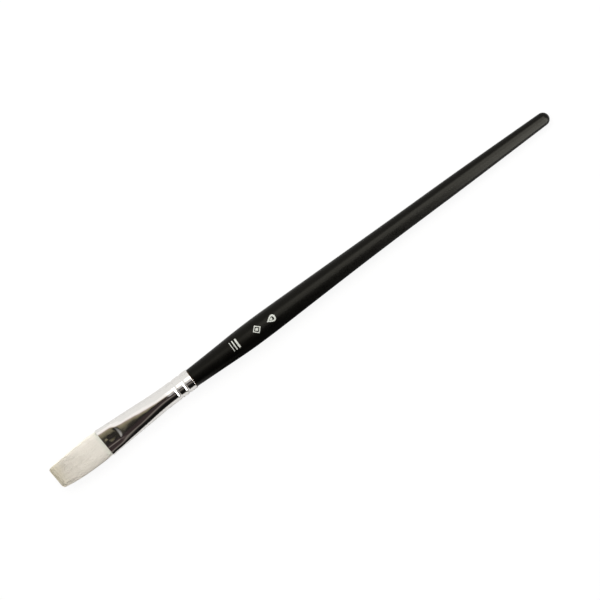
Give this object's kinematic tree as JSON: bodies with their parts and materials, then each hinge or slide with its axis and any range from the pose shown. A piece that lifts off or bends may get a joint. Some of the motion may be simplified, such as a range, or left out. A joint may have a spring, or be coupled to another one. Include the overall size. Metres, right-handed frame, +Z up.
{
  "type": "flat paint brush",
  "caption": "Flat artist's brush: turned black wooden handle, crimped metal ferrule pressed flat at the mouth, and a square-cut white filament tuft that bends.",
  "frame": {"origin": "on the ground under the middle of the brush's length, as it lies on a table", "axes": "+X along the brush towards the end of the handle, +Y across the width of the tuft, +Z up out of the flat side. The brush's own axis tilts 0.9 degrees in the XZ plane, because it rests on the belly and the rear of the handle with the tuft clear of the ground"},
  "size_m": [0.25, 0.0126, 0.0104],
  "materials": {
    "black_lacquer": "satin black lacquer over turned wood",
    "polished_metal": "mirror polished, fine draw lines along the tube",
    "filament": "off-white synthetic filaments",
    "resin": "cured amber resin"
  },
  "bodies": {
    "brush": {"handle": "black_lacquer", "ferrule": "polished_metal", "tuft_root": "filament", "epoxy_plug": "resin"},
    "tuft": {"tuft": "filament"}
  },
  "joints": [
    {"name": "tuft_flex", "type": "hinge", "parent": "brush", "child": "tuft", "pos_m": [-0.10049, 0, 0.00641], "axis": [0, 1, 0], "range_deg": [-35, 35], "stiffness_Nm_per_rad": 0.02}
  ]
}
